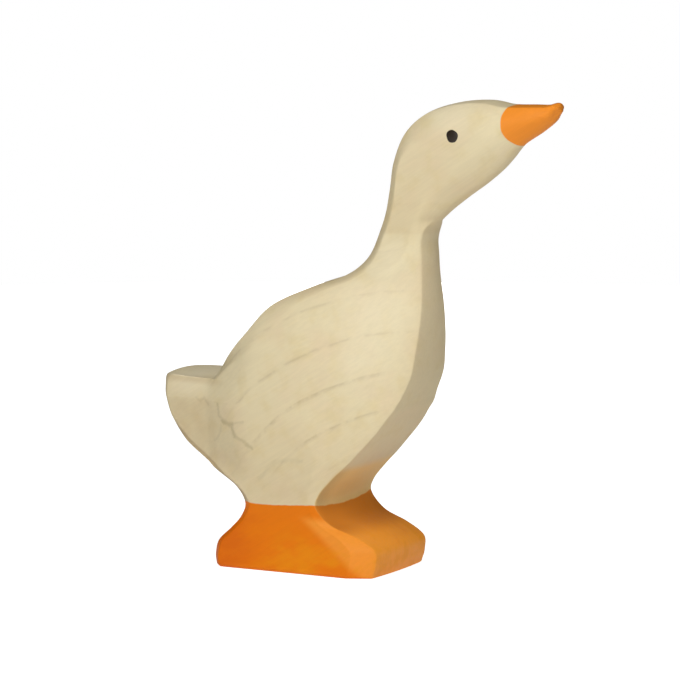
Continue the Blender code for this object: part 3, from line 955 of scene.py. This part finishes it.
def painted_maple(colours):
    """Maple, sawn and carved, under a cream wash and an orange glaze.

    Both are thin enough for the growth rings to show as fine brown lines, and they dry to a satin.
    Painted light and painted shade are laid into their colour.
    """
    material, tree, shader = new_material("painted_maple")
    coords = add(tree, "ShaderNodeTexCoord").outputs["Object"]
    place = add(tree, VECTOR, {0: coords, "Scale": 1.0 / MM}, operation="SCALE")
    axes = dict(add(tree, "ShaderNodeSeparateXYZ", {0: place}).outputs.items())
    axes["toe"] = add(tree, MATH, {0: axes["Z"], 1: TOE_SLANT, 2: axes["X"]}, operation="MULTIPLY_ADD")
    rise = {"Vector": place, "Angle": GRAIN_RISE}
    turned = add(tree, "ShaderNodeVectorRotate", rise, rotation_type="Y_AXIS")
    drawn = add(tree, VECTOR, {0: turned, 1: FIBRE_STRETCH}, operation="MULTIPLY")
    grain = {"Vector": drawn, "Scale": 1.0 / FIBRE_WIDTH, "Detail": 4.0, "Roughness": 0.6}
    fibres = add(tree, NOISE, grain)
    shade = {0: fibres, 1: 0.3, 2: 0.7, 3: FIBRE_DARK, 4: FIBRE_PALE}
    tone = add(tree, RANGE, shade, interpolation_type=SMOOTH)
    grey = add(tree, "ShaderNodeCombineColor", {0: tone, 1: tone, 2: tone})
    cracks = check_marks(tree, place, axes)
    wash = cream_wash(tree, place, axes, grey, cracks, colours)
    glaze = orange_glaze(tree, place, axes, grey, colours)
    painted = paint_fields(tree, place, axes)
    colour = add(tree, MIX, {0: painted, 6: wash, 7: glaze}, data_type="RGBA")
    satin = {0: fibres, 1: 0.3, 2: 0.7, 3: LEAST_ROUGH, 4: MOST_ROUGH}
    dry = add(tree, RANGE, satin, interpolation_type=SMOOTH)
    rough = add(tree, MATH, {0: painted, 1: -0.1, 2: dry}, operation="MULTIPLY_ADD")
    relief = add(tree, MATH, {0: fibres, 1: 0.25}, operation="MULTIPLY")
    relief = add(tree, MATH, {0: relief, 1: cracks}, operation="SUBTRACT")
    bump = add(tree, "ShaderNodeBump", {"Height": relief, "Strength": 0.35, "Distance": FIBRE_BUMP})
    tree.links.new(colour.outputs[2], shader.inputs["Base Color"])
    tree.links.new(rough.outputs[0], shader.inputs["Roughness"])
    tree.links.new(bump.outputs[0], shader.inputs["Normal"])
    shader.inputs["IOR"].default_value = 1.5
    shader.inputs["Specular IOR Level"].default_value = 0.2
    return material


def check_marks(tree, place, axes):
    """How deep in a fine crack a point of the near side lies, from 0 to 1."""
    shaken = []
    for axis, size in CHECK_SHAKE_SIZES:
        shake = add(tree, NOISE, {"Vector": place, "Scale": 1.0 / size, "Detail": 2.0})
        shift = add(tree, MATH, {0: shake, 1: 0.5}, operation="SUBTRACT")
        moved = {0: shift, 1: CHECK_SHAKE, 2: axes[axis]}
        shaken.append(add(tree, MATH, moved, operation="MULTIPLY_ADD"))
    flat = add(tree, "ShaderNodeCombineXYZ", {"X": shaken[0], "Z": shaken[1]})
    total = 0.0
    for points, width, strength in CHECKS:
        for (start_x, start_z), (end_x, end_z) in zip(points[:-1], points[1:]):
            along = Vector((end_x - start_x, 0.0, end_z - start_z))
            unit = along / along.length_squared
            here = add(tree, VECTOR, {0: flat, 1: (start_x, 0.0, start_z)}, operation="SUBTRACT")
            share = add(tree, VECTOR, {0: here, 1: unit}, operation="DOT_PRODUCT")
            inside = add(tree, "ShaderNodeClamp", {0: share})
            foot = add(tree, VECTOR, {0: along, "Scale": inside}, operation="SCALE")
            away = add(tree, VECTOR, {0: here, 1: foot}, operation="DISTANCE")
            mark = {0: away, 1: width, 2: 0.0, 4: strength}
            mark = add(tree, RANGE, mark, interpolation_type=SMOOTH)
            total = add(tree, MATH, {0: total, 1: mark}, operation="MAXIMUM")
    near = add(tree, RANGE, {0: axes["Y"], 1: CHECK_DEPTH, 2: CHECK_DEPTH - 1.0})
    cloud = add(tree, NOISE, {"Vector": place, "Scale": 1.0 / 1.7, "Detail": 2.0})
    broken = add(tree, RANGE, {0: cloud, 1: 0.2, 2: 0.6, 3: 0.6, 4: 1.0}, interpolation_type=SMOOTH)
    total = add(tree, MATH, {0: total, 1: near}, operation="MULTIPLY")
    return add(tree, MATH, {0: total, 1: broken}, operation="MULTIPLY")


def paint_fields(tree, place, axes):
    """1 on the glazed foot block and beak, 0 on the washed body."""
    noise = add(tree, NOISE, {"Vector": place, "Scale": 1.0 / LINE_WAVER_SIZE, "Detail": 3.0})
    waver = add(tree, MATH, {0: noise, 1: 0.5}, operation="SUBTRACT")
    aside = add(tree, MATH, {0: axes["Y"], 1: axes["Y"]}, operation="MULTIPLY")
    turn = add(tree, MATH, {0: axes["X"], 1: FOOT_LINE_TURN}, operation="MULTIPLY")
    wave = add(tree, MATH, {0: turn}, operation="SINE")
    line = FOOT_LINE_HEIGHT
    for shift, most in ((aside, FOOT_LINE_BOW), (wave, FOOT_LINE_WAVE), (waver, FOOT_LINE_WAVER)):
        line = add(tree, MATH, {0: shift, 1: most, 2: line}, operation="MULTIPLY_ADD")
    below = add(tree, MATH, {0: line, 1: axes["Z"]}, operation="SUBTRACT")
    edge = {0: below, 1: -FOOT_LINE_EDGE, 2: FOOT_LINE_EDGE}
    foot = add(tree, RANGE, edge, interpolation_type=SMOOTH)

    rise = add(tree, MATH, {0: axes["Z"], 1: BEAK_LINE_HEIGHT}, operation="SUBTRACT")
    square = add(tree, MATH, {0: rise, 1: rise}, operation="MULTIPLY")
    fourth = add(tree, MATH, {0: square, 1: square}, operation="MULTIPLY")
    curl = {0: rise, 1: -0.5, 2: 0.5, 3: BEAK_LINE_BELOW, 4: BEAK_LINE_ABOVE}
    curl = add(tree, RANGE, curl, interpolation_type=SMOOTH)
    root = BEAK_LINE_FORWARD
    for shift, most in ((square, curl), (fourth, BEAK_LINE_ENDS), (waver, BEAK_LINE_WAVER)):
        root = add(tree, MATH, {0: shift, 1: most, 2: root}, operation="MULTIPLY_ADD")
    past = add(tree, MATH, {0: axes["X"], 1: root}, operation="SUBTRACT")
    edge = {0: past, 1: -BEAK_LINE_EDGE, 2: BEAK_LINE_EDGE}
    beak = add(tree, RANGE, edge, interpolation_type=SMOOTH)
    return add(tree, MATH, {0: foot, 1: beak}, operation="MAXIMUM")


def eye_paint(colours):
    """Brown black paint dabbed on with a small round brush, a little glossier than the wash."""
    material, tree, shader = new_material("eye_dab_paint")
    coords = add(tree, "ShaderNodeTexCoord").outputs["Object"]
    place = add(tree, VECTOR, {0: coords, "Scale": 1.0 / MM}, operation="SCALE")
    brushed = add(tree, NOISE, {"Vector": place, "Scale": 1.0 / 0.4, "Detail": 3.0})
    thin = add(tree, MATH, {0: brushed, 1: 0.5}, operation="MULTIPLY")
    colour = layered(tree, colours.eye, ((thin, colours.eye_thin),))
    bump = add(tree, "ShaderNodeBump", {"Height": brushed, "Strength": 0.2, "Distance": 0.05 * MM})
    tree.links.new(colour.outputs[2], shader.inputs["Base Color"])
    tree.links.new(bump.outputs[0], shader.inputs["Normal"])
    shader.inputs["Roughness"].default_value = 0.4
    shader.inputs["IOR"].default_value = 1.5
    return material


def new_piece(name, mesh):
    """Link a mesh to the scene as a piece of the goose, placed by its own points."""
    piece = bpy.data.objects.new(name, mesh)
    bpy.context.scene.collection.objects.link(piece)
    return piece


def stand_for_goose(piece):
    """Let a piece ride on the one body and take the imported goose's place."""
    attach(piece, "root")
    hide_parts("goose")


def closed_skin(loops):
    """A mesh over loops of points, closed below and at the tip of the beak, and its points."""
    around = loops.shape[1]
    lowest_middle = np.zeros((1, 3))
    tip_middle = loops[-1].mean(axis=0)[None]
    points = np.concatenate([loops.reshape(-1, 3), lowest_middle, tip_middle])
    bottom, top = len(points) - 2, len(points) - 1
    last = (len(loops) - 1) * around
    faces = []
    for i in range(around):
        j = (i + 1) % around
        for low in range(0, last, around):
            high = low + around
            faces.append((low + i, low + j, high + j, high + i))
        faces.append((j, i, bottom))
        faces.append((last + i, last + j, top))
    mesh = bpy.data.meshes.new("goose_body")
    mesh.from_pydata(points.tolist(), [], faces)
    form = bmesh.new()
    form.from_mesh(mesh)
    bmesh.ops.recalc_face_normals(form, faces=form.faces)
    form.to_mesh(mesh)
    form.free()
    return mesh, points


def share_attributes(mesh, points, count):
    """Mark where the knife worked, the front flat, and the back flat with half of its bevel."""
    front = column_share(STRIP_START, STRIP_START + FLAT_COLUMNS, STRIP_BLEND)
    back = column_share(0, FLAT_COLUMNS + RUN_COLUMNS // 2, KEEL_BLEND)
    shares = {
        "carved": np.clip((points[:, 2] - CARVED_FROM) / CARVED_BLEND, 0.0, 1.0),
        "strip": np.append(np.tile(front, count), [0.0, 0.0]),
        "keel": np.append(np.tile(back, count), [0.0, 0.0]),
    }
    for name, share in shares.items():
        values = share.astype(np.float32)
        mesh.attributes.new(name, "FLOAT", "POINT").data.foreach_set("value", values)


def scoop(piece, carving, context):
    """Sink the knife scoops into a piece and keep the result as its plain mesh."""
    scoops = piece.modifiers.new("scoops", "NODES")
    scoops.node_group = knife_scoops()
    values = {
        "Depth": carving.scoop_depth,
        "Length": carving.scoop_length,
        "Width": carving.scoop_width,
        "Seed": carving.seed,
    }
    for item in scoops.node_group.interface.items_tree:
        if item.name in values:
            scoops[item.identifier] = values[item.name]
    context.view_layer.update()
    evaluated = piece.evaluated_get(context.evaluated_depsgraph_get())
    finished = bpy.data.meshes.new_from_object(evaluated)
    piece.modifiers.remove(scoops)
    piece.data = finished
    finished.name = piece.name
    finished.shade_smooth()


class GOOSE_OT_body(bpy.types.Operator):
    """Carve the goose from its ladder of sections, scoop it and paint it"""

    bl_idname = "goose.body"
    bl_label = "Carve Body"

    def execute(self, context):
        carving = context.scene.goose_carving
        material = painted_maple(context.scene.goose_colours)
        loops = ladder_loops(carving.softness)
        loops = np.concatenate([np.array(underside_loops(loops[0])[::-1]), loops])
        mesh, points = closed_skin(loops)
        share_attributes(mesh, points, len(loops))
        mesh.materials.append(material)
        mesh.shade_smooth()
        piece = new_piece("goose_body", mesh)
        scoop(piece, carving, context)
        stand_for_goose(piece)
        return {"FINISHED"}


def eye_dab(body, side, eyes, material):
    """A low round dab of paint that lies on one side of the head."""
    form = bmesh.new()
    wood = []
    paint = []
    radius = 0.5 * eyes.diameter
    for ring in range(DAB_RINGS + 1):
        share = ring / DAB_RINGS
        rise = eyes.rise * (1.0 - share**3)
        for k in range(DAB_SEGMENTS if ring else 1):
            turn = 2.0 * np.pi * k / DAB_SEGMENTS
            uneven = sum(most * np.sin(waves * turn + start) for waves, start, most in DAB_UNEVEN)
            reach = radius * share * (1.0 + uneven)
            x = EYE_FORWARD + reach * np.cos(turn)
            z = EYE_HEIGHT + reach * np.sin(turn)
            found, place, _, _ = body.ray_cast((x, side * BOARD_THICKNESS, z), (0.0, -side, 0.0))
            if not found:
                raise ValueError("the eye misses the head")
            paint.append(form.verts.new((x, place.y + side * (rise + DAB_CLEAR), z)))
            wood.append(form.verts.new((x, place.y - side * DAB_ROOT, z)))

    def index(ring, k):
        return 0 if ring == 0 else 1 + (ring - 1) * DAB_SEGMENTS + k % DAB_SEGMENTS

    for layer in (paint, wood):
        for ring in range(DAB_RINGS):
            for k in range(DAB_SEGMENTS):
                inner = (index(ring, k + 1), index(ring, k))
                corners = inner + (index(ring + 1, k), index(ring + 1, k + 1))
                unique = list(dict.fromkeys(corners))
                form.faces.new([layer[i] for i in unique])
    for k in range(DAB_SEGMENTS):
        a, b = index(DAB_RINGS, k), index(DAB_RINGS, k + 1)
        form.faces.new((paint[a], paint[b], wood[b], wood[a]))
    bmesh.ops.recalc_face_normals(form, faces=form.faces)
    name = "eye_right" if side < 0.0 else "eye_left"
    mesh = bpy.data.meshes.new(name)
    form.to_mesh(mesh)
    form.free()
    mesh.materials.append(material)
    mesh.shade_smooth()
    return new_piece(name, mesh)


class GOOSE_OT_eyes(bpy.types.Operator):
    """Dab an eye on each side of the head"""

    bl_idname = "goose.eyes"
    bl_label = "Dab Eyes"

    def execute(self, context):
        body = bpy.data.objects["goose_body"]
        context.view_layer.update()
        material = eye_paint(context.scene.goose_colours)
        for side in (-1.0, 1.0):
            dab = eye_dab(body, side, context.scene.goose_eyes, material)
            stand_for_goose(dab)
        return {"FINISHED"}


def direction(azimuth, elevation):
    """Unit vector from the goose; azimuth 0 looks at its -Y side and grows towards the beak."""
    level = np.cos(elevation)
    return Vector((np.sin(azimuth) * level, -np.cos(azimuth) * level, np.sin(elevation)))


def aim(item, place, target):
    """Put a lamp or camera at a place and turn it to a target."""
    item.location = place
    item.rotation_euler = (Vector(target) - Vector(place)).to_track_quat("-Z", "Y").to_euler()


class GOOSE_OT_stage(bpy.types.Operator):
    """Set the floor, the lamps, the white room and the camera"""

    bl_idname = "goose.stage"
    bl_label = "Set Stage"

    def execute(self, context):
        stage = context.scene.goose_stage
        scene = context.scene
        self.add_floor(stage.bounce)
        for name, azimuth, elevation, distance, size, power in LAMPS:
            light = bpy.data.lights.new(name, "AREA")
            light.shape = "DISK"
            light.size = size
            light.energy = power * stage.light
            lamp = bpy.data.objects.new(name, light)
            scene.collection.objects.link(lamp)
            towards = direction(np.radians(azimuth), np.radians(elevation))
            aim(lamp, LIT_MIDDLE + towards * distance, LIT_MIDDLE)
            lamp.visible_camera = False
            lamp.visible_glossy = name == "key"
        world = bpy.data.worlds.new("white room")
        scene.world = world
        world.use_nodes = True
        tree = world.node_tree
        tree.nodes.clear()
        seen = add(tree, "ShaderNodeLightPath").outputs["Is Camera Ray"]
        strength = add(tree, MIX, {0: seen, 2: stage.room, 3: 1.0}, data_type="FLOAT")
        room = add(tree, "ShaderNodeBackground", {"Color": (1.0, 1.0, 1.0, 1.0), "Strength": strength})
        add(tree, "ShaderNodeOutputWorld", {"Surface": room})
        scene.view_settings.view_transform = "Standard"
        camera_data = bpy.data.cameras.new("camera")
        camera_data.lens = stage.lens
        camera_data.sensor_width = SENSOR_WIDTH
        camera_data.clip_start = NEAREST_SEEN
        camera = bpy.data.objects.new("camera", camera_data)
        scene.collection.objects.link(camera)
        towards = direction(stage.azimuth, stage.elevation)
        aim(camera, LOOK_AT + towards * stage.distance, LOOK_AT)
        scene.camera = camera
        return {"FINISHED"}

    def add_floor(self, bounce):
        """A pale floor that reads as the white background and keeps the goose's shadow."""
        form = bmesh.new()
        bmesh.ops.create_circle(form, cap_ends=True, segments=FLOOR_SEGMENTS, radius=FLOOR_RADIUS)
        mesh = bpy.data.meshes.new("floor")
        form.to_mesh(mesh)
        form.free()
        material, tree, shader = new_material("white_floor")
        shader.inputs["Base Color"].default_value = linear(FLOOR_COLOUR)
        shader.inputs["Roughness"].default_value = 0.9
        shader.inputs["Emission Color"].default_value = (1.0, 1.0, 1.0, 1.0)
        seen = add(tree, "ShaderNodeLightPath").outputs["Is Camera Ray"]
        glow = add(tree, MIX, {0: seen, 2: bounce, 3: FLOOR_GLOW}, data_type="FLOAT")
        tree.links.new(glow.outputs[0], shader.inputs["Emission Strength"])
        mesh.materials.append(material)
        floor = bpy.data.objects.new("floor", mesh)
        bpy.context.scene.collection.objects.link(floor)


class GOOSE_PT_panel(bpy.types.Panel):
    """Lists the goose's operators and settings"""

    bl_label = "Goose"
    bl_idname = "GOOSE_PT_panel"
    bl_space_type = "VIEW_3D"
    bl_region_type = "UI"
    bl_category = "Goose"

    def draw(self, context):
        column = self.layout.column()
        for operator in OPERATORS:
            column.operator(operator.bl_idname)
        for group in SETTINGS:
            box = self.layout.box()
            values = getattr(context.scene, group)
            for name in values.bl_rna.properties.keys():
                if name not in ("rna_type", "name"):
                    box.prop(values, name)


SETTINGS = {
    "goose_carving": GooseCarving,
    "goose_eyes": GooseEyes,
    "goose_colours": GooseColours,
    "goose_stage": GooseStage,
}
OPERATORS = (GOOSE_OT_body, GOOSE_OT_eyes, GOOSE_OT_stage)


def register():
    for group in SETTINGS.values():
        bpy.utils.register_class(group)
    for name, group in SETTINGS.items():
        setattr(bpy.types.Scene, name, PointerProperty(type=group))
    for item in OPERATORS + (GOOSE_PT_panel,):
        bpy.utils.register_class(item)


def unregister():
    for item in reversed(OPERATORS + (GOOSE_PT_panel,)):
        bpy.utils.unregister_class(item)
    for name in SETTINGS:
        delattr(bpy.types.Scene, name)
    for group in reversed(SETTINGS.values()):
        bpy.utils.unregister_class(group)


def main():
    register()
    bpy.ops.goose.body()
    bpy.ops.goose.eyes()
    bpy.ops.goose.stage()


if __name__ == "__main__":
    main()
